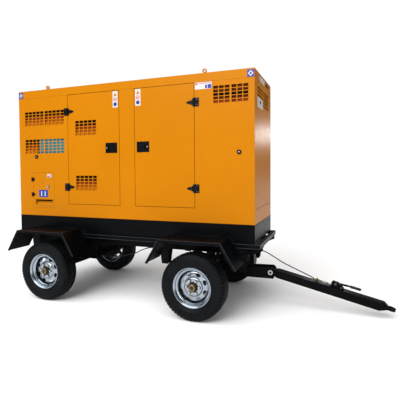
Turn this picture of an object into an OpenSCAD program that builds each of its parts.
// Towable diesel generator: a canopied generating set on a four-wheel trailer.
// Millimetres. +X points to the drawbar, +Y to the left side, +Z up, ground at Z = 0.
// The origin is the centre of the plan outline, on the ground.

/* [Canopy] */
// Length of the canopy
canopy_len = 3160; // [3100:10:3300]
// Width of the canopy
canopy_w = 940; // [920:10:980]
// Height of the orange canopy
canopy_h = 1620; // [1600:10:1800]
// Sheet thickness of the canopy panels
sheet = 4; // [3:1:5]
// How far the doors can be seen to stand back from their openings
door_gap = 5; // [2:0.5:6]

/* [Trailer] */
// Height of the deck above the ground
deck_z = 775; // [775:5:800]
// Height of the black skid between deck and canopy
skid_h = 200; // [200:10:260]
// Distance between the tyre centres across the trailer
track = 1400; // [1396:2:1410]
// Distance between the axles
wheelbase = 1909; // [1880:1:1940]

/* [Wheels] */
// Outside diameter of the tyres
tyre_d = 700; // [690:2:704]
// Section width of the tyres
tyre_w = 205; // [195:1:207]

/* [Drawbar] */
// Distance from the hitch pin to the towing eye
bar_len = 1264; // [1200:2:1300]
// Slope of the drawbar at rest
bar_tilt = 13; // [11:0.5:14]

/* [Hidden] */
$fn = 48;
eps = 0.01;
run = 0.05;
wheel_r = tyre_d / 2;
half_w = canopy_w / 2;
pin_ahead = 91;
eye_r = 46;
eye_hole_r = 21;
eye_half = 14;
bar_reach = pin_ahead + (bar_len + eye_r) * cos(bar_tilt) + eye_half * sin(bar_tilt);
// How far the handle of the control door stands out behind
handle_out = 25;
overall = handle_out + canopy_len + bar_reach;
x_rear = handle_out - overall / 2;
x_front = x_rear + canopy_len;
ax_f = x_front - 585;
ax_r = ax_f - wheelbase;
skid_top = deck_z + skid_h;
roof_z = skid_top + canopy_h;
band_h = 95;
band_z = roof_z - band_h;
sill_h = 157;
door_z0 = skid_top + sill_h;
rear_panel_w = 790;
pillar_w = 202;
door_w = 752;
// Seams along the side, from the rear
seam1 = x_rear + rear_panel_w;
seam2 = seam1 + door_w;
seam3 = seam2 + pillar_w;
seam4 = seam3 + door_w;
rail_y = 350;
rail_w = 60;
rail_z0 = 640;
rail_z1 = 730;
spring_y = 350;
lean_front = [430, 475];
lean_rear = [-490, 494];
king_y = 500;
hub_y = track / 2;
arm_back = 150;
tie_z = 291;
clevis_half = 52;
pin_x = x_front + pin_ahead;
pin_z = 385;
hinge_off = 8.3;
knuckle_r = 8;
latch_w = 160;
latch_h = 122;
latch_in = 33;
latch_z = 1822;
slot_w = 54;
slot_h = 30;
slot_px = 63;
slot_pz = 38;
group_h = 4 * slot_pz + slot_h;
group_w = 4 * slot_px + slot_w;
fan_x = x_front - 760;
core_z = 1560;
orange = [0.89, 0.57, 0.08];
black = [0.06, 0.06, 0.07];
steel = [0.62, 0.63, 0.65];
rubber = [0.05, 0.05, 0.05];
teal = [0.05, 0.45, 0.42];
grey = [0.35, 0.37, 0.38];

// ---------- helpers ----------

// Places a shape built in the X-Z plane, standing up and extruded towards -Y
module upright(y0, thick) {
  translate([0, y0 + thick, 0]) rotate([90, 0, 0]) linear_extrude(height = thick) children();
}

// A block from one corner to the other
module block(a, b) {
  translate(a) cube(b - a);
}

// A round bar along Y, centred on a point
module bar_y(p, r, len) {
  translate(p) rotate([90, 0, 0]) cylinder(r = r, h = len, center = true);
}

// A round bar along X, starting at a point
module bar_x(p, r, len) {
  translate(p) rotate([0, 90, 0]) cylinder(r = r, h = len);
}

// A round bar along Z, starting at a point
module bar_z(p, r, len) {
  translate(p) cylinder(r = r, h = len);
}

// One group of ventilation slots, lower left corner at x, z
module slots(x, z, cols = 5) {
  for (i = [0 : cols - 1])
    for (k = [0 : 4])
      translate([x + i * slot_px, z + k * slot_pz]) square([slot_w, slot_h]);
}

// A rectangle from one corner to the other
module rect(a, b) {
  translate(a) square(b - a);
}

// ---------- chassis ----------

// A channel rail lying along X, its web outside
module rail(side) {
  y = side * rail_y;
  difference() {
    block([x_rear + 40, y - rail_w / 2, rail_z0], [x_front + 65, y + rail_w / 2, rail_z1]);
    translate([0, -side * 8, 0])
      block([x_rear, y - rail_w / 2, rail_z0 + 8], [x_front + 90, y + rail_w / 2, rail_z1 - 8]);
    upright(y - 40, 80)
      polygon([[x_front - 45, rail_z0 - 1], [x_front + 66, rail_z0 - 1], [x_front + 66, rail_z0 + 52]]);
  }
}

// The pair of plates that carries one end of a leaf spring
module hanger(x, side, eye_z, web) {
  for (s = [-1, 1])
    difference() {
      upright(side * spring_y + s * 38 - 4, 8)
        polygon(concat(
          [[x - 40, eye_z - 27], [x + 40, eye_z - 27], [x + 64, rail_z0], [x - 64 - web, rail_z0]],
          web > 0 ? [[x - 64 - web, 436], [x - 64, 458]] : []
        ));
      bar_y([x, side * spring_y + s * 38, eye_z], 9, 20);
    }
  // The top pad stays inside the rail width so both plates are tied to it
  block([x - 60, side * spring_y - 42, rail_z0 - 10], [x + 60, side * spring_y + 42, rail_z0]);
  bar_y([x, side * spring_y, eye_z], 9, 100);
}

module chassis_frame() {
  color(black) {
    rail(-1);
    rail(1);
    inner = rail_y - rail_w / 2;
    for (x = [x_rear + 60, ax_r - 480, ax_r + 480, ax_f - 560, ax_f, ax_f + 500])
      difference() {
        block([x - 30, -inner - 52, rail_z0 + 8], [x + 30, inner + 52, rail_z1 - 8]);
        block([x - 24, -inner - 60, rail_z0 + 14], [x + 40, inner + 60, rail_z1 - 14]);
      }
    for (side = [-1, 1]) {
      for (ax = [ax_r, ax_f])
        hanger(ax + lean_rear[0], side, lean_rear[1], 0);
      // The front hangers of the rear springs have a long web along the rail
      hanger(ax_r + lean_front[0], side, lean_front[1], 285);
      hanger(ax_f + lean_front[0], side, lean_front[1], 0);
    }
  }
}

module deck_frame() {
  color(black) {
    difference() {
      block([x_rear, -500, rail_z1], [x_front + 60, 500, deck_z]);
      block([x_rear + 45, -455, rail_z1 - 1], [x_front + 15, 455, deck_z + 1]);
    }
    for (x = [ax_r - 480, ax_r + 480, ax_f - 560, ax_f])
      block([x - 25, -456, rail_z1], [x + 25, 456, deck_z]);
    // Splash plates between the rear wheels and the chassis
    for (side = [-1, 1])
      block([ax_r - 330, side * 497 - 3, 590], [ax_r + 330, side * 497 + 3, rail_z1 + 1]);
  }
}

module skid_base() {
  wall = 6;
  color(black) {
    // Outer skirt, fuel tank and floor of the canopy
    difference() {
      block([x_rear, -half_w, deck_z], [x_front, half_w, skid_top]);
      block([x_rear + wall, -half_w + wall, deck_z - 1],
        [x_front - wall, half_w - wall, skid_top - wall]);
    }
    // The fuel tank, open to the skirt space through its sump hole
    difference() {
      block([x_rear + 900, -380, deck_z], [x_rear + 2500, 380, skid_top - wall]);
      block([x_rear + 904, -376, deck_z + 4], [x_rear + 2496, 376, skid_top - wall + eps]);
      bar_z([x_rear + 1700, 0, deck_z - 1], 20, 10);
    }
    // Mounting feet of the generating set
    for (x = [x_rear + 480, x_rear + 1000, x_rear + 1650])
      for (s = [-1, 1])
        bar_z([x, s * 260, skid_top], 45, 55);
  }
}

// ---------- mudguards ----------

guard_half = 335;
guard_tip = 490;
guard_z1 = 835;
guard_z0 = 575;

// The bent outline with a given depth inwards
module guard_line(t) {
  k = (guard_tip - guard_half) / (guard_z1 - guard_z0);
  d = t * sqrt(1 + k * k);
  h = guard_half + k * t - d;
  e = guard_tip - d;
  polygon([
    [-guard_tip, guard_z0], [-guard_half, guard_z1],
    [guard_half, guard_z1], [guard_tip, guard_z0],
    [e, guard_z0], [h, guard_z1 - t],
    [-h, guard_z1 - t], [-e, guard_z0]
  ]);
}

module mudguard(x, side) {
  y0 = side > 0 ? 505 : -840;
  lip = side > 0 ? 836 : -840;
  translate([x - 15, 0, 0]) {
    upright(y0, 335) guard_line(5);
    upright(lip, 4) guard_line(26);
    for (bx = [-240, 240]) {
      block([bx - 15, side > 0 ? 500 : -820, 800], [bx + 15, side > 0 ? 820 : -500, 830]);
      block([bx - 15, side > 0 ? 500 : -530, rail_z1 + 5],
        [bx + 15, side > 0 ? 530 : -500, 800 + eps]);
    }
  }
}

module mudguards() {
  color(black)
    for (x = [ax_f, ax_r])
      for (side = [-1, 1])
        mudguard(x, side);
}

// ---------- axles and springs ----------

beam_h = 30;
spindle_r = 22;

// Saddle plates and U bolts that clamp a spring to an axle
module spring_clamp(x, side) {
  y = side * spring_y;
  block([x - 60, y - 44, wheel_r + 73.5], [x + 60, y + 44, wheel_r + 84]);
  block([x - 60, y - 44, wheel_r - 42], [x + 60, y + 44, wheel_r - beam_h]);
  for (dx = [-48, 48])
    for (dy = [-37, 37])
      bar_z([x + dx, y + dy, wheel_r - 60], 6, 155);
}

module rear_axle() {
  color(black) {
    block([ax_r - beam_h, -555, wheel_r - beam_h], [ax_r + beam_h, 555, wheel_r + beam_h]);
    for (side = [-1, 1]) {
      spring_clamp(ax_r, side);
      bar_y([ax_r, side * (554 + (hub_y + 8 - 554) / 2), wheel_r], spindle_r, hub_y + 8 - 554);
      bar_y([ax_r, side * 560, wheel_r], 130, 10);
    }
    // Brake equaliser bracket
    block([ax_r + 20, -25, wheel_r + 10], [ax_r + 70, 25, wheel_r + 55]);
  }
}

module front_axle() {
  color(black) {
    difference() {
      block([ax_f - beam_h, -455, wheel_r - beam_h], [ax_f + beam_h, 455, wheel_r + beam_h]);
      bar_z([ax_f, 0, 200], 15, 300);
    }
    for (side = [-1, 1]) {
      spring_clamp(ax_f, side);
      // Yoke that holds the king pin above and below
      difference() {
        union() {
          block([ax_f - 30, side > 0 ? 440 : -456, wheel_r - 52],
            [ax_f + 30, side > 0 ? 456 : -440, wheel_r + 52]);
          for (z = [wheel_r - 52, wheel_r + 36]) {
            block([ax_f - 30, side > 0 ? 440 : -king_y, z], [ax_f + 30, side > 0 ? king_y : -440, z + 16]);
            bar_z([ax_f, side * king_y, z], 30, 16);
          }
        }
        bar_z([ax_f, side * king_y, 200], 12, 300);
      }
    }
  }
}

// Height of a leaf above its lowest point
leaf_r = 1571;
function leaf_rise(x) = leaf_r - sqrt(leaf_r * leaf_r - x * x);

// One curved leaf, as a strip of short straight pieces
module leaf(x0, x1, z, t) {
  steps = 20;
  top = [for (i = [0 : steps]) let (x = x0 + (x1 - x0) * i / steps) [x, z + t + leaf_rise(x)]];
  low = [for (i = [steps : -1 : 0]) let (x = x0 + (x1 - x0) * i / steps) [x, z + leaf_rise(x)]];
  polygon(concat(top, low));
}

module leaf_spring(x, side) {
  base = wheel_r + beam_h;
  translate([x, 0, 0]) {
    difference() {
      union() {
        upright(side * spring_y - 30, 60) leaf(lean_rear[0] + 5, lean_front[0] - 5, base + 32, 10);
        for (e = [lean_front, lean_rear])
          bar_y([e[0], side * spring_y, e[1]], 19, 60);
      }
      for (e = [lean_front, lean_rear])
        bar_y([e[0], side * spring_y, e[1]], 9 + run, 70);
    }
    for (i = [0 : 2])
      upright(side * spring_y - 30, 60) leaf(-150 - i * 110, 130 + i * 95, base + i * 10.7, 10.3);
  }
}

module leaf_springs() {
  color(black)
    for (x = [ax_f, ax_r])
      for (side = [-1, 1])
        leaf_spring(x, side);
}

// ---------- steering ----------

module steering_tongue() {
  color(black) {
    difference() {
      union() {
        // Fork around the axle beam
        block([ax_f - 30, -45, wheel_r + beam_h + 2], [ax_f + 110, 45, wheel_r + beam_h + 16]);
        block([ax_f - 30, -45, wheel_r - beam_h - 16], [ax_f + 110, 45, wheel_r - beam_h - 2]);
        block([ax_f + 70, -45, wheel_r - beam_h - 16], [ax_f + 110, 45, wheel_r + beam_h + 16]);
        // Beam forward to the clevis
        block([ax_f + 100, -42, 330], [x_front - 10, 42, 410]);
      }
      block([ax_f + 120, -36, 336], [x_front - 40, 36, 404]);
    }
    // Pivot pin through the axle beam, with its head
    bar_z([ax_f, 0, wheel_r - beam_h - 16], 15 - run, 2 * beam_h + 36);
    bar_z([ax_f, 0, wheel_r + beam_h + 16], 24, 8);
    // Arm to the tie rod, under the axle
    block([ax_f - arm_back - 20, -22, 262], [ax_f + 60, 22, 278]);
    block([ax_f - 25, -30, 277], [ax_f + 60, 30, wheel_r - beam_h - 15]);
    bar_z([ax_f - arm_back, 0, 277], 8 - run, 28);
    // Clevis plates
    for (s = [-1, 1])
      difference() {
        upright(s > 0 ? clevis_half : -clevis_half - 14, 14)
          polygon([
            [x_front - 230, 310], [x_front + 120, 314], [x_front + 137, 340],
            [x_front + 137, 418], [x_front + 112, 444], [x_front - 90, 438], [x_front - 230, 420]
          ]);
        bar_y([pin_x, s * 60, pin_z], 16, 60);
      }
    for (z = [318, 400])
      block([x_front - 220, -clevis_half - 1, z], [x_front - 60, clevis_half + 1, z + 12]);
    block([x_front - 60, -clevis_half - 1, 318], [x_front - 48, clevis_half + 1, 412]);
    // Box post that guides the brake cable
    difference() {
      block([x_front - 205, -45, 409], [x_front - 102, 45, 590]);
      block([x_front - 200, -40, 400], [x_front - 107, 40, 585]);
    }
    block([x_front - 122, -8, 589], [x_front - 102, 8, 606]);
    difference() {
      bar_x([x_front - 122, 0, 618], 14, 20);
      bar_x([x_front - 130, 0, 618], 6.5, 40);
    }
  }
}

module hitch_pin() {
  color(steel) {
    bar_y([pin_x, 0, pin_z], 16 - run, 2 * clevis_half + 60);
    bar_y([pin_x, -clevis_half - 22, pin_z], 26, 12);
    bar_y([pin_x, clevis_half + 22, pin_z], 26, 12);
  }
}

// Ball ends and tube of the tie rod
module tie_rod() {
  x = ax_f - arm_back;
  color(black)
    difference() {
      union() {
        bar_y([x, 0, tie_z], 9, 2 * king_y - 20);
        for (y = [-king_y, 0, king_y])
          bar_z([x, y, tie_z - 12], 18, 24);
      }
      for (y = [-king_y, 0, king_y])
        bar_z([x, y, tie_z - 20], 8, 40);
    }
}

// The stub axle that turns on the king pin
module knuckle(side) {
  y = side * king_y;
  color(black) {
    bar_z([ax_f, y, wheel_r - 35], 28, 70);
    bar_z([ax_f, y, 262], 12 - run, wheel_r + 60 - 262);
    bar_z([ax_f, y, wheel_r + 53], 18, 8);
    bar_y([ax_f, side * (king_y + (hub_y + 8 - king_y) / 2), wheel_r], spindle_r, hub_y + 8 - king_y);
    bar_y([ax_f, side * 560, wheel_r], 130, 10);
    // Steering arm
    block([ax_f - arm_back - 20, y - 18, 262], [ax_f + 18, y + 18, 278]);
    bar_z([ax_f - arm_back, y, 277], 8 - run, 28);
  }
}

module right_knuckle() knuckle(-1);
module left_knuckle() knuckle(1);

// ---------- drawbar ----------

// Puts parts drawn along +X at the slope of the drawbar, from the hitch pin
module on_bar() {
  translate([pin_x, 0, pin_z]) rotate([0, bar_tilt, 0]) children();
}

lever_s = 690;
guide_s = 500;
bar_w = 58;
bar_h = 42;
lever_h = 84;
cable_h = 62;

module drawbar() {
  color(black)
    on_bar() {
      difference() {
        union() {
          bar_y([0, 0, 0], 36, 2 * clevis_half - 4);
          block([20, -clevis_half + 3, -bar_h + 6], [80, clevis_half - 3, bar_h - 6]);
          block([64, -bar_w, -bar_h], [bar_len - 66, bar_w, bar_h]);
        }
        bar_y([0, 0, 0], 16, 200);
        block([76, 6 - bar_w, 6 - bar_h], [bar_len - 80, bar_w - 6, bar_h - 6]);
        // Lower edge cut away towards the eye
        upright(-bar_w - 1, 2 * bar_w + 2)
          polygon([
            [bar_len - 110, -bar_h - 1], [bar_len - 60, -bar_h - 1], [bar_len - 60, -14]
          ]);
      }
      // Shank and towing eye
      difference() {
        union() {
          block([bar_len - 90, -32, -eye_half], [bar_len - 25, 32, eye_half]);
          bar_z([bar_len, 0, -eye_half], eye_r, 2 * eye_half);
        }
        bar_z([bar_len, 0, -40], eye_hole_r, 80);
      }
      // Lever bracket
      for (s = [-1, 1])
        difference() {
          upright(s * 24 - 4, 8)
            polygon([
              [lever_s - 50, bar_h - 1], [lever_s + 100, bar_h - 1], [lever_s + 92, bar_h + 20],
              [lever_s + 30, lever_h + 19], [lever_s - 30, lever_h + 19]
            ]);
          bar_y([lever_s, s * 24, lever_h], 7 + run, 20);
        }
      // Guide for the end of the cable casing
      difference() {
        block([guide_s - 6, -16, bar_h - 1], [guide_s + 6, 16, bar_h + 38]);
        bar_x([guide_s - 20, 0, cable_h], 8, 40);
      }
    }
}

// A ratchet lever with its grip lying forward along the drawbar
module brake_lever() {
  color(black)
    on_bar()
      translate([lever_s, 0, lever_h]) {
        bar_y([0, 0, 0], 7, 66);
        bar_y([0, 0, 0], 16, 30);
        for (s = [-1, 1])
          bar_y([0, s * 32, 0], 11, 6);
        upright(-6, 12)
          polygon([[0, -12], [0, 14], [130, 22], [130, 4], [60, -2]]);
        translate([0, 0, -7]) {
          bar_x([118, 0, 20], 9, 40);
          bar_x([150, 0, 20], 12, 100);
          bar_x([249, 0, 20], 10, 12);
        }
        // Short arm that pulls the cable
        upright(-5, 10)
          polygon([[-14, 0], [14, 0], [6, -24], [-6, -24]]);
      }
}

// ---------- brake cable ----------

cable_r = 6;
sides = 8;
// Way of the cable ahead of the steering pivot, from the lever back
bar_c = cos(bar_tilt);
bar_s = sin(bar_tilt);
function bar_point(s, h) = [pin_x + s * bar_c + h * bar_s, pin_z - s * bar_s + h * bar_c];
front_way = [
  bar_point(lever_s - 30, cable_h),
  bar_point(lever_s - 90, cable_h),
  bar_point(guide_s + 40, cable_h),
  bar_point(guide_s - 30, cable_h + 1),
  bar_point(guide_s - 90, cable_h + 18),
  [x_front + 250, 480],
  [x_front + 130, 546],
  [x_front + 30, 600],
  [x_front - 40, 617],
  [x_front - 112, 618],
  [x_front - 190, 612],
  [x_front - 300, 566],
  [x_front - 420, 500],
  [x_front - 500, 472],
  [ax_f + 2, 462]
];
// Way of the cable under the chassis, to the rear axle
rear_way = [
  [ax_f - 2, 462],
  [ax_f - 60, 474],
  [ax_f - 124, 506],
  [ax_f - 189, 548],
  [ax_f - 300, 562],
  [ax_f - 500, 560],
  [ax_f - 700, 558],
  [ax_f - 897, 546],
  [ax_f - 1010, 510],
  [ax_f - 1109, 464],
  [ax_f - 1300, 412],
  [ax_f - 1500, 392],
  [ax_f - 1700, 388],
  [ax_r + 70.2, 388]
];

// A point part of the way between neighbours, rounding the corners
function mix(a, b, c, d, t) =
  0.5 * (2 * b + (c - a) * t + (2 * a - 5 * b + 4 * c - d) * t * t
    + (3 * b - a - 3 * c + d) * t * t * t);
function at(p, i) = p[max(0, min(len(p) - 1, i))];
function smooth(p, n) = [
  for (i = [0 : len(p) - 2])
    for (k = [0 : n - 1])
      mix(at(p, i - 1), at(p, i), at(p, i + 1), at(p, i + 2), k / n),
  p[len(p) - 1]
];

// A round cord swept along a way that lies in the X-Z plane
module cord(way, r) {
  line = smooth(way, 4);
  last = len(line) - 1;
  function tangent(i) = line[min(i + 1, last)] - line[max(i - 1, 0)];
  function normal(i) = [-tangent(i)[1], tangent(i)[0]] / norm(tangent(i));
  points = [
    for (i = [0 : last])
      for (k = [0 : sides - 1])
        let (a = 360 * k / sides, n = normal(i))
          [line[i][0] + r * cos(a) * n[0], r * sin(a), line[i][1] + r * cos(a) * n[1]]
  ];
  skin = [
    for (i = [0 : last - 1])
      for (k = [0 : sides - 1])
        let (j = (k + 1) % sides)
          [i * sides + k, i * sides + j, (i + 1) * sides + j, (i + 1) * sides + k]
  ];
  caps = [
    [for (k = [sides - 1 : -1 : 0]) k],
    [for (k = [0 : sides - 1]) last * sides + k]
  ];
  polyhedron(points, concat(skin, caps), convexity = 6);
}

module brake_cable() color(grey) cord(front_way, cable_r);
module brake_cable_rear() color(grey) cord(rear_way, cable_r);

// ---------- wheels ----------

bead_r = 196;

// Half of the outline of the tyre section, from the tread centre to the bead
function tyre_side(s) = [
  [wheel_r - 1, s * 30], [wheel_r - 3, s * 62], [wheel_r - 12, s * 80],
  [wheel_r - 34, s * (tyre_w / 2 - 8)], [wheel_r - 66, s * (tyre_w / 2)],
  [wheel_r - 96, s * (tyre_w / 2 - 3)], [wheel_r - 122, s * (tyre_w / 2 - 12)],
  [bead_r + 15, s * 79.4], [bead_r + 8, s * 78.4], [bead_r + 3.5, s * 76.6], [bead_r, s * 73]
];
function back(p) = [for (i = [len(p) - 1 : -1 : 0]) p[i]];

module tyre(x, y) {
  color(rubber)
    translate([x, y, wheel_r]) rotate([90, 0, 0]) rotate_extrude($fn = 96)
      difference() {
        polygon(concat(tyre_side(1), back(tyre_side(-1)), [[wheel_r, -10], [wheel_r, 10]]));
        polygon([
          [bead_r - 5, -62], [bead_r + 20, -66], [wheel_r - 66, -84], [wheel_r - 20, -70],
          [wheel_r - 14, 0], [wheel_r - 20, 70], [wheel_r - 66, 84], [bead_r + 20, 66],
          [bead_r - 5, 62]
        ]);
      }
}

disc_out = 28;

// A window in the wheel disc, wider towards the rim
module disc_window(a) {
  rotate(a)
    polygon([[110, -18], [128, -30], [146, -27], [151, 0], [146, 27], [128, 30], [110, 18]]);
}

// Steel wheel: rim, disc with windows, centre hole and stud holes. s is the outer side
module rim(x, y) {
  s = y > 0 ? -1 : 1;
  color(steel)
    translate([x, y, wheel_r]) rotate([90, 0, 0]) {
      rotate_extrude($fn = 96)
        polygon([
          [208, -88], [208, -80], [200, -78], [195.5, -74], [195.5, -50], [170, -38], [170, -8],
          [195.5, 8], [195.5, 74], [200, 78], [208, 80], [208, 88], [201, 88], [190, 76],
          [189, 10], [165, -4], [165, -40], [190, -54], [190, -76], [201, -88]
        ]);
      // Dished disc in two flat steps
      translate([0, 0, s * disc_out - 3]) linear_extrude(height = 6)
        difference() {
          circle(r = 164 + 26, $fn = 96);
          circle(r = 95, $fn = 96);
          for (i = [0 : 7])
            disc_window(i * 45 + 22.5);
        }
      translate([0, 0, s > 0 ? disc_out - 3 : -disc_out - 19]) linear_extrude(height = 22)
        difference() {
          circle(r = 100, $fn = 96);
          circle(r = 92, $fn = 96);
        }
      translate([0, 0, s > 0 ? disc_out + 13 : -disc_out - 19]) linear_extrude(height = 6)
        difference() {
          circle(r = 96, $fn = 96);
          circle(r = 46, $fn = 96);
          for (i = [0 : 5])
            rotate(i * 60) translate([70, 0]) circle(r = 8);
        }
    }
}

// Brake drum, hub, wheel flange, studs with nuts and the grease cap
module hub(x, y) {
  s = y > 0 ? 1 : -1;
  out = s * (disc_out + 13);
  color(black)
    translate([x, y, wheel_r]) {
      difference() {
        union() {
          bar_y([0, s * (-35), 0], 125, 60);
          bar_y([0, s * (-5), 0], 45, 90);
          bar_y([0, s * (disc_out + 7), 0], 88, 11);
          bar_y([0, s * (disc_out + 20), 0], 44, 40);
        }
        // Hollow drum and bearing bore
        bar_y([0, s * (-45), 0], 115, 60);
        bar_y([0, -s * 30, 0], spindle_r + run, 90);
      }
      difference() {
        bar_y([0, s * (-28), 0], 38, 72);
        bar_y([0, -s * 40, 0], spindle_r + run, 110);
      }
      bar_y([0, s * (disc_out + 48), 0], 35, 24);
      for (i = [0 : 5])
        rotate([0, i * 60, 0]) {
          bar_y([70, out, 0], 7, 56);
          translate([70, out + s * 13.2, 0]) rotate([90, 0, 0])
            cylinder(r = 13, h = 14, center = true, $fn = 6);
        }
    }
}

module front_right_tyre() tyre(ax_f, -hub_y);
module front_right_rim() rim(ax_f, -hub_y);
module front_right_hub() hub(ax_f, -hub_y);
module front_left_tyre() tyre(ax_f, hub_y);
module front_left_rim() rim(ax_f, hub_y);
module front_left_hub() hub(ax_f, hub_y);
module rear_right_tyre() tyre(ax_r, -hub_y);
module rear_right_rim() rim(ax_r, -hub_y);
module rear_right_hub() hub(ax_r, -hub_y);
module rear_left_tyre() tyre(ax_r, hub_y);
module rear_left_rim() rim(ax_r, hub_y);
module rear_left_hub() hub(ax_r, hub_y);

// ---------- canopy ----------

outlet_x0 = x_rear + 218;
outlet_x1 = x_rear + 565;
outlet_z0 = 1078;
outlet_z1 = 1530;

// Positions of the slot groups on a side panel, from the rear corner of the canopy
group_a = x_rear + 102;
group_b = x_rear + 427;
group_c = x_rear + 908;
group_d = x_front - 447;
group_e = x_front - 246;

module side_panels(side) {
  y0 = side > 0 ? half_w - sheet : -half_w;
  color(orange) {
    upright(y0, sheet)
      difference() {
        rect([x_rear, skid_top], [x_front, band_z - 1]);
        rect([seam1, door_z0], [seam2, band_z]);
        rect([seam3, door_z0], [seam4, band_z]);
        slots(group_a, 1779);
        slots(group_b, 1779);
        slots(group_a, 2139);
        slots(group_b, 2139);
        slots(group_d, 2262, 3);
        slots(group_e, 2262, 3);
        if (side < 0)
          rect([outlet_x0, outlet_z0], [outlet_x1, outlet_z1]);
      }
    // Folded frame behind the door openings
    yf = side > 0 ? half_w - sheet - 60 : -half_w + sheet + 34;
    upright(yf, 26)
      for (s = [0, 1])
        difference() {
          a = s == 0 ? seam1 : seam3;
          rect([a - 30, door_z0 - 30], [a + door_w + 30, band_z - 1]);
          rect([a + 18, door_z0 + 18], [a + door_w - 18, band_z - 18]);
        }
    // Folds that tie that frame to the skin
    upright(side > 0 ? half_w - sheet - 61 : -half_w + sheet - eps, 61 + eps)
      for (a = [seam1, seam3]) {
        rect([a - 30, door_z0 - 30], [a - 4, band_z - 1]);
        rect([a + door_w + 4, door_z0 - 30], [a + door_w + 30, band_z - 1]);
        rect([a - 30, door_z0 - 30], [a + door_w + 30, door_z0 - 4]);
      }
  }
}

module right_side_panels() side_panels(-1);
module left_side_panels() side_panels(1);

module canopy_roof() {
  color(orange) {
    difference() {
      block([x_rear, -half_w, band_z], [x_front, half_w, roof_z]);
      block([x_rear + sheet, -half_w + sheet, band_z - 1],
        [x_front - sheet, half_w - sheet, roof_z - sheet]);
    }
    // Roof bows
    for (x = [x_rear + 450, x_rear + 1080, x_rear + 2000, x_rear + 2607])
      block([x - 20, -half_w + sheet - eps, roof_z - 40],
        [x + 20, half_w - sheet + eps, roof_z - sheet + eps]);
  }
}

// End walls stand between the side panels
module end_wall(x) {
  inner = half_w - sheet - 0.5;
  translate([x, 0, 0]) rotate([90, 0, 90])
    linear_extrude(height = sheet)
      difference() {
        rect([-inner, skid_top], [inner, band_z - 1]);
        children();
      }
}

module front_end() {
  color(orange) {
    end_wall(x_front - sheet) {
      slots(-317, 2262);
      slots(15, 2262);
      rect([-inner_end, door_z0 - 1.5], [-20, door_z0 + 1.5]);
      rect([20, door_z0 - 1.5], [inner_end, door_z0 + 1.5]);
    }
    // Inner ribs
    for (y = [-420, -10, 390])
      block([x_front - sheet - 30, y, skid_top], [x_front - sheet + eps, y + 20, band_z - 1]);
  }
}

inner_end = half_w - 45;
ctrl_y = 290;
ctrl_z0 = 1500;
ctrl_z1 = 2200;
ctrl_hinge_z = [ctrl_z0 + 110, ctrl_z1 - 110];

module rear_end() {
  color(orange) {
    end_wall(x_rear) {
      rect([-ctrl_y, ctrl_z0], [ctrl_y, ctrl_z1]);
      slots(-317, 1120);
      slots(15, 1120);
    }
    for (y = [-420, 400])
      block([x_rear + sheet - eps, y, skid_top], [x_rear + sheet + 30, y + 20, band_z - 1]);
  }
}

eye_x = [x_rear + 458, x_front - 555];

module lifting_eyes() {
  color(orange)
    for (x = eye_x)
      for (s = [-1, 1])
        translate([x, s * (half_w - 34), roof_z])
          difference() {
            union() {
              bar_z([0, 0, 0], 16, 10);
              bar_y([0, 0, 29], 25, 14);
            }
            bar_y([0, 0, 29], 12, 40);
          }
}

// ---------- hinges and fittings ----------

hinge_h = 94;
hinge_z = [1347, 2288];
outlet_hinge_z = [1248, 1443];

// The fixed half of a hinge: leaf, two barrels and the pin. dir points away from the door
module hinge_leaf(x, z, side, dir, w = 53, h = hinge_h) {
  y = side * (half_w + hinge_off);
  face = side * half_w;
  b = h * 0.32;
  xa = dir > 0 ? x + 2 : x - w;
  xb = dir > 0 ? x + w : x - 2;
  ya = min(face, face + side * 4);
  block([xa, ya, z - h / 2], [xb, ya + 4, z - h / 2 + b]);
  block([xa, ya, z + h / 2 - b], [xb, ya + 4, z + h / 2]);
  xc = dir > 0 ? x + knuckle_r + 2 : x - w;
  xd = dir > 0 ? x + w : x - knuckle_r - 2;
  block([xc, ya, z - h / 2], [xd, ya + 4, z + h / 2]);
  for (zz = [z - h / 2, z + h / 2 - b])
    difference() {
      bar_z([x, y, zz], knuckle_r, b);
      // The barrel is cut back level with the skin
      block([x - 20, min(face, face - side * 20), zz - 1], [x + 20, min(face, face - side * 20) + 20, zz + b + 1]);
    }
  bar_z([x, y, z - h / 2], 4, h);
}

// The moving half: one barrel with a bore, and a strap that narrows along the door
module hinge_arm(x, z, side, dir, w = 93, h = hinge_h) {
  y = side * (half_w + hinge_off);
  face = side * half_w;
  b = h * 0.32;
  ya = min(face, face + side * 4);
  shoulder = h / 4.3;
  difference() {
    union() {
      upright(ya, 4)
        polygon([
          [x + dir * (knuckle_r + 2), z - h / 2], [x + dir * (knuckle_r + 2), z - h / 2 + b + 1],
          [x, z - h / 2 + b + 1], [x, z + h / 2 - b - 1],
          [x + dir * (knuckle_r + 2), z + h / 2 - b - 1], [x + dir * (knuckle_r + 2), z + h / 2],
          [x + dir * shoulder, z + h / 2], [x + dir * (shoulder + 3), z + h * 0.30],
          [x + dir * (w - 4), z + h * 0.09], [x + dir * w, z + h * 0.05],
          [x + dir * w, z - h * 0.05], [x + dir * (w - 4), z - h * 0.09],
          [x + dir * (shoulder + 3), z - h * 0.30], [x + dir * shoulder, z - h / 2]
        ]);
      bar_z([x, y, z - h / 2 + b + 1], knuckle_r, h - 2 * b - 2);
    }
    bar_z([x, y, z - h], 4 + run, 2 * h);
  }
}

// Puts a shape made for the right side on the rear end instead
module on_rear() {
  translate([x_rear + half_w, 0, 0]) rotate([0, 0, -90]) children();
}

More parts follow.
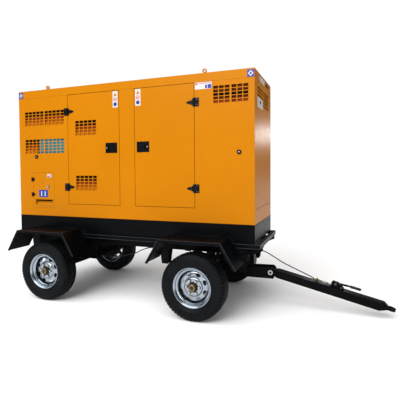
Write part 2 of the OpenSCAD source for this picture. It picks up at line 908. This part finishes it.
// Fixed black fittings on the canopy: hinge leaves and the round plugs
module panel_fittings() {
  color(black) {
    for (side = [-1, 1]) {
      for (z = hinge_z) {
        hinge_leaf(seam1, z, side, -1);
        hinge_leaf(seam4, z, side, 1);
      }
      for (x = [x_rear + 285, x_front - 165])
        bar_y([x, side * (half_w + 5), 1737], 24, 10);
    }
    for (z = outlet_hinge_z)
      hinge_leaf(outlet_x0, z, -1, -1, 28, 52);
    on_rear()
      for (z = ctrl_hinge_z)
        hinge_leaf(-ctrl_y, z, -1, -1, 40, 60);
  }
}

// ---------- doors ----------

// A door skin with folded edges. The first x is the rear edge
module door(x, side, vents) {
  a = [x + door_gap, door_z0 + door_gap];
  b = [x + door_w - door_gap, band_z - door_gap];
  y0 = side > 0 ? half_w - sheet : -half_w;
  yf = side > 0 ? half_w - sheet - 24 : -half_w + sheet - eps;
  front = x > seam2;
  lx = front ? x + latch_in : x + door_w - latch_in - latch_w;
  px = front ? lx + 6 : lx + 42;
  color(orange) {
    upright(y0, sheet)
      difference() {
        rect(a, b);
        if (vents) {
          slots(group_c, 1986);
          slots(group_c, 1308);
        }
        rect([px - 1, latch_z - 47], [px + 113, latch_z + 47]);
      }
    upright(yf, 24 + eps)
      difference() {
        rect(a + [0.5, 0.5], b - [0.5, 0.5]);
        rect(a + [4, 4], b - [4, 4]);
      }
  }
}

// The black latch dish and hinge arms of a door
module hardware(x, side) {
  front = x > seam2;
  lx = front ? x + latch_in : x + door_w - latch_in - latch_w;
  px = front ? lx + 6 : lx + 42;
  hx = front ? x + door_w : x;
  dir = front ? -1 : 1;
  face = side * half_w;
  y0 = side > 0 ? face : face - 4;
  yp = side > 0 ? face - 24 : face;
  color(black) {
    // Flange with the opening for the paddle
    upright(y0, 4)
      difference() {
        rect([lx, latch_z - latch_h / 2], [lx + latch_w, latch_z + latch_h / 2]);
        rect([px + 4, latch_z - 42], [px + 108, latch_z + 42]);
      }
    // Pan behind it
    upright(yp, 24)
      difference() {
        rect([px, latch_z - 46], [px + 112, latch_z + 46]);
        rect([px + 4, latch_z - 42], [px + 108, latch_z + 42]);
      }
    upright(side > 0 ? face - 24 : face + 21, 3)
      rect([px, latch_z - 46], [px + 112, latch_z + 46]);
    // Key barrel and paddle pivot
    kx = front ? lx + latch_w - 20 : lx + 20;
    bar_y([kx, face + side * 5, latch_z], 10, 8);
    rx = front ? px + 101 : px + 11;
    bar_z([rx, face - side * 5, latch_z - 44], 2.5, 88);
    for (z = hinge_z)
      hinge_arm(hx, z, side, dir);
  }
}

// The paddle that is pulled outwards at its free end
module paddle(x, side) {
  front = x > seam2;
  lx = front ? x + latch_in : x + door_w - latch_in - latch_w;
  px = front ? lx + 6 : lx + 42;
  rx = front ? px + 101 : px + 11;
  face = side * half_w;
  y0 = side > 0 ? face - 1 : face - 3;
  color(black)
    difference() {
      union() {
        upright(y0, 4)
          rect([front ? px + 6 : rx - 2, latch_z - 40], [front ? rx + 2 : px + 106, latch_z + 40]);
        bar_z([rx, face - side * 5, latch_z - 40], 5, 80);
      }
      bar_z([rx, face - side * 5, latch_z - 60], 2.5 + run, 120);
    }
}

module right_rear_door() door(seam1, -1, true);
module right_rear_hardware() hardware(seam1, -1);
module right_rear_paddle() paddle(seam1, -1);
module right_front_door() door(seam3, -1, false);
module right_front_hardware() hardware(seam3, -1);
module right_front_paddle() paddle(seam3, -1);
module left_rear_door() door(seam1, 1, true);
module left_rear_hardware() hardware(seam1, 1);
module left_rear_paddle() paddle(seam1, 1);
module left_front_door() door(seam3, 1, false);
module left_front_hardware() hardware(seam3, 1);
module left_front_paddle() paddle(seam3, 1);

lock_x = x_rear + 466;
lock_z = 1349;
mouth_z0 = 1106;
mouth_z1 = 1182;
mouth_x0 = outlet_x0 + 37;
mouth_x1 = outlet_x1 - 32;
mouth_in = 46;

module outlet_door() {
  y0 = -half_w;
  color(orange) {
    upright(y0, sheet)
      difference() {
        rect([outlet_x0 + 2, outlet_z0 + 2], [outlet_x1 - 2, outlet_z1 - 2]);
        rect([mouth_x0, mouth_z0], [mouth_x1, mouth_z1]);
        translate([lock_x, lock_z]) circle(r = 12 + run);
      }
    upright(y0 + sheet - eps, 14)
      difference() {
        rect([outlet_x0 + 2.5, outlet_z0 + 2.5], [outlet_x1 - 2.5, outlet_z1 - 2.5]);
        rect([outlet_x0 + 6, outlet_z0 + 6], [outlet_x1 - 6, outlet_z1 - 6]);
      }
    // Ramp that leads the cables inwards and down, with its two cheeks
    translate([mouth_x0 - 3, 0, 0]) rotate([90, 0, 90])
      linear_extrude(height = mouth_x1 - mouth_x0 + 6)
        polygon([
          [y0 + sheet - eps, mouth_z0 - 6], [y0 + sheet - eps, mouth_z0 + 1],
          [y0 + mouth_in - 3, mouth_z1 - 22], [y0 + mouth_in, mouth_z1 - 22],
          [y0 + mouth_in, mouth_z1 - 26], [y0 + sheet + 3, mouth_z0 - 6]
        ]);
    for (x = [mouth_x0 - 6, mouth_x1 + 3])
      translate([x, 0, 0]) rotate([90, 0, 90]) linear_extrude(height = 3.01)
        polygon([
          [y0 + sheet - eps, mouth_z0 - 6], [y0 + sheet - eps, mouth_z1 + 4],
          [y0 + mouth_in, mouth_z1 + 4], [y0 + mouth_in, mouth_z1 - 26]
        ]);
  }
}

// The moving halves of the two small hinges
module outlet_hardware() {
  color(black)
    for (z = outlet_hinge_z)
      hinge_arm(outlet_x0, z, -1, 1, 34, 52);
}

module outlet_lock() {
  color(steel) {
    bar_y([lock_x, -half_w, lock_z], 12, 30);
    bar_y([lock_x, -half_w - 5, lock_z], 17, 9);
    // Cam behind the door
    block([lock_x - 8, -half_w + 8, lock_z - 8], [lock_x + 40, -half_w + 14, lock_z + 8]);
  }
}

module control_door() {
  color(orange) {
    block([x_rear, -ctrl_y + 3, ctrl_z0 + 3], [x_rear + sheet, ctrl_y - 3, ctrl_z1 - 3]);
    // Window frame and handle
    difference() {
      block([x_rear - 8, -200, ctrl_z0 + 230], [x_rear + eps, 200, ctrl_z1 - 90]);
      block([x_rear - 20, -180, ctrl_z0 + 250], [x_rear - eps, 180, ctrl_z1 - 110]);
    }
    difference() {
      block([x_rear - handle_out, -ctrl_y + 30, ctrl_z0 + 90],
        [x_rear + eps, -ctrl_y + 50, ctrl_z0 + 210]);
      block([x_rear - handle_out + 8, -ctrl_y + 20, ctrl_z0 + 102],
        [x_rear - eps, -ctrl_y + 60, ctrl_z0 + 198]);
    }
    on_rear()
      for (z = ctrl_hinge_z)
        hinge_arm(-ctrl_y, z, -1, 1, 60, 60);
  }
}

// ---------- generating set ----------

set_z = skid_top + 55;
crank_z = 1330;
block_x0 = x_rear + 980;
block_x1 = x_rear + 1900;

module engine_block() {
  color(grey) {
    difference() {
      block([block_x0, -190, 1180], [block_x1, 190, 1640]);
      for (i = [0 : 3])
        bar_z([block_x0 + 170 + i * 200, 0, 1250], 62, 500);
      // Crankcase, and the pockets between the side ribs
      block([block_x0 + 30, -165, 1170], [block_x1 - 30, 165, 1400]);
      for (i = [0 : 4])
        for (s = [-1, 1])
          block([block_x0 + 40 + i * 175, s > 0 ? 150 : -200, 1430],
            [block_x0 + 180 + i * 175, s > 0 ? 200 : -150, 1600]);
    }
    // Sump, flywheel housing, pulley and fan shaft
    difference() {
      block([block_x0 + 20, -175, 1172], [block_x1 - 20, 175, 1182]);
      block([block_x0 + 90, -150, 1160], [block_x1 - 170, 150, 1190]);
    }
    difference() {
      block([block_x0 + 80, -160, 1060], [block_x1 - 160, 160, 1180 + eps]);
      block([block_x0 + 86, -154, 1066], [block_x1 - 166, 154, 1190]);
    }
    bar_x([block_x0 - 90, 0, crank_z], 230, 90 + eps);
    bar_x([block_x1 - eps, 0, crank_z], 95, 60);
    bar_x([block_x1 - eps, 0, core_z], 28, fan_x - block_x1 + 10);
    bar_x([block_x1 - eps, 0, core_z], 70, 40);
    // Feet
    for (x = [x_rear + 1000, x_rear + 1650])
      for (s = [-1, 1]) {
        block([x - 40, s > 0 ? 185 : -300, set_z], [x + 40, s > 0 ? 300 : -185, set_z + 16]);
        block([x - 40, s > 0 ? 185 : -205, set_z], [x + 40, s > 0 ? 205 : -185, 1220]);
      }
  }
}

module cylinder_head() {
  color(grey) {
    difference() {
      union() {
        block([block_x0 + 20, -150, 1640], [block_x1 - 20, 150, 1730]);
        block([block_x0 + 50, -90, 1730 - eps], [block_x1 - 50, 110, 1800]);
      }
      // Rocker space and the oil filler hole
      block([block_x0 + 56, -84, 1672], [block_x1 - 56, 104, 1794]);
      bar_z([block_x0 + 180, 10, 1780], 20, 30);
    }
    // Exhaust manifold and turbocharger
    bar_x([block_x0 + 100, -175, 1690], 32, 700);
    bar_x([block_x0 + 400, -215, 1760], 70, 120);
  }
}

// Outline of the terminal box with its two lower corners rounded
module terminal_outline(w, z0, z1, r) {
  rect([-w, z0 + r], [w, z1]);
  rect([-w + r, z0], [w - r, z1]);
  for (s = [-1, 1])
    translate([s * (w - r), z0 + r]) circle(r = r);
}

module alternator() {
  x0 = x_rear + 240;
  x1 = block_x0 - 91;
  color(teal) {
    difference() {
      union() {
        bar_x([x0 + 60, 0, 1450], 270, x1 - x0 - 60);
        bar_x([x0, 0, 1450], 190, 61);
        for (x = [x0 + 120, x0 + 360])
          bar_x([x, 0, 1450], 280, 40);
        // Terminal box on top, reaching over towards the right side
        translate([x0 + 30, 0, 0]) rotate([90, 0, 90])
          linear_extrude(height = 440) terminal_outline(290, 1690, 2010, 60);
      }
      // Stator bore, air inlets and the inside of the terminal box
      bar_x([x0 + 80, 0, 1450], 225, x1 - x0 - 110);
      for (a = [30 : 60 : 330])
        translate([x0 - 1, 130 * sin(a), 1450 + 130 * cos(a)]) rotate([0, 90, 0]) cylinder(r = 35, h = 90);
      block([x0 + 36, -284, 1752], [x0 + 464, 284, 2004]);
      bar_x([x0 + 20, 200, 1850], 30, 20);
    }
    // Rotor
    bar_x([x0 + 60, 0, 1450], 90, x1 - x0 - 80);
    for (s = [-1, 1])
      block([x_rear + 440, s > 0 ? 200 : -310, set_z], [x_rear + 520, s > 0 ? 310 : -200, 1330]);
  }
}

module radiator() {
  x = x_front - 640;
  color(grey) {
    difference() {
      block([x, -400, 1080], [x + 110, 400, 2050]);
      for (k = [0 : 7])
        block([x + 20, -360, 1140 + k * 108], [x + 90, 360, 1224 + k * 108]);
    }
    // Ring shroud around the fan
    difference() {
      block([x - 150, -400, core_z - 400], [x + eps, 400, core_z + 400]);
      bar_x([x - 160, 0, core_z], 360, 200);
      block([x - 144, -394, core_z - 394], [x - 20, 394, core_z + 394]);
    }
    for (s = [-1, 1])
      block([x + 10, s > 0 ? 340 : -400, skid_top], [x + 100, s > 0 ? 400 : -340, 1081]);
  }
}

module radiator_fan() {
  color(black)
    translate([fan_x, 0, core_z]) {
      difference() {
        bar_x([0, 0, 0], 95, 60);
        bar_x([-20, 0, 0], 28 + run, 40);
      }
      for (i = [0 : 6])
        rotate([i * 360 / 7, 0, 0]) translate([30, 0, 90]) rotate([0, 0, 32])
          block([-3, -62, -6], [3, 62, 245]);
    }
}

module muffler() {
  color(steel) {
    translate([x_front - 330, 0, 2180]) {
      difference() {
        union() {
          bar_y([0, 0, 0], 130, 680);
          bar_y([0, 0, 0], 40, 760);
          bar_z([0, 0, -400], 38, 290);
        }
        bar_y([0, 0, 0], 125, 670);
        bar_y([0, 0, 0], 36, 770);
        bar_z([0, 0, -401], 34, 300);
      }
    }
    for (s = [-1, 1])
      block([x_front - 350, s * 300 - 15, 2300], [x_front - 310, s * 300 + 15, band_z]);
  }
}

module air_filter() {
  color(black) {
    bar_x([x_rear + 1150, 200, 2060], 120, 460);
    bar_x([x_rear + 1110, 200, 2060], 60, 41);
    block([x_rear + 1340, 190, 1799], [x_rear + 1420, 210, 1950]);
  }
}

module battery() {
  color(black)
    for (x = [x_rear + 2010, x_rear + 2225]) {
      block([x - 95, -400, skid_top], [x + 95, -180, skid_top + 210]);
      for (y = [-365, -215])
        bar_z([x, y, skid_top + 209], 10, 20);
    }
}

module control_panel() {
  color(grey) {
    difference() {
      block([x_rear + 40, -250, 1560], [x_rear + 200, 250, 2150]);
      block([x_rear + 45, -245, 1565], [x_rear + 201, 245, 2145]);
    }
    bar_x([x_rear + 30, 0, 1700], 30, 11);
    bar_x([x_rear + 30, 150, 1700], 22, 11);
    block([x_rear + 32, -110, 1860], [x_rear + 41, 110, 2060]);
    // Stand that carries it from the floor
    for (s = [-1, 1])
      block([x_rear + 60, s * 200 - 20, skid_top], [x_rear + 100, s * 200 + 20, 1561]);
  }
}

// ---------- drawing ----------

chassis_frame();
deck_frame();
skid_base();
mudguards();
rear_axle();
front_axle();
leaf_springs();
steering_tongue();
hitch_pin();
tie_rod();
right_knuckle();
left_knuckle();
drawbar();
brake_lever();
brake_cable();
brake_cable_rear();
front_right_tyre();
front_right_rim();
front_right_hub();
front_left_tyre();
front_left_rim();
front_left_hub();
rear_right_tyre();
rear_right_rim();
rear_right_hub();
rear_left_tyre();
rear_left_rim();
rear_left_hub();
right_side_panels();
left_side_panels();
canopy_roof();
front_end();
rear_end();
lifting_eyes();
panel_fittings();
right_rear_door();
right_rear_hardware();
right_rear_paddle();
right_front_door();
right_front_hardware();
right_front_paddle();
left_rear_door();
left_rear_hardware();
left_rear_paddle();
left_front_door();
left_front_hardware();
left_front_paddle();
outlet_door();
outlet_hardware();
outlet_lock();
control_door();
engine_block();
cylinder_head();
alternator();
radiator();
radiator_fan();
muffler();
air_filter();
battery();
control_panel();
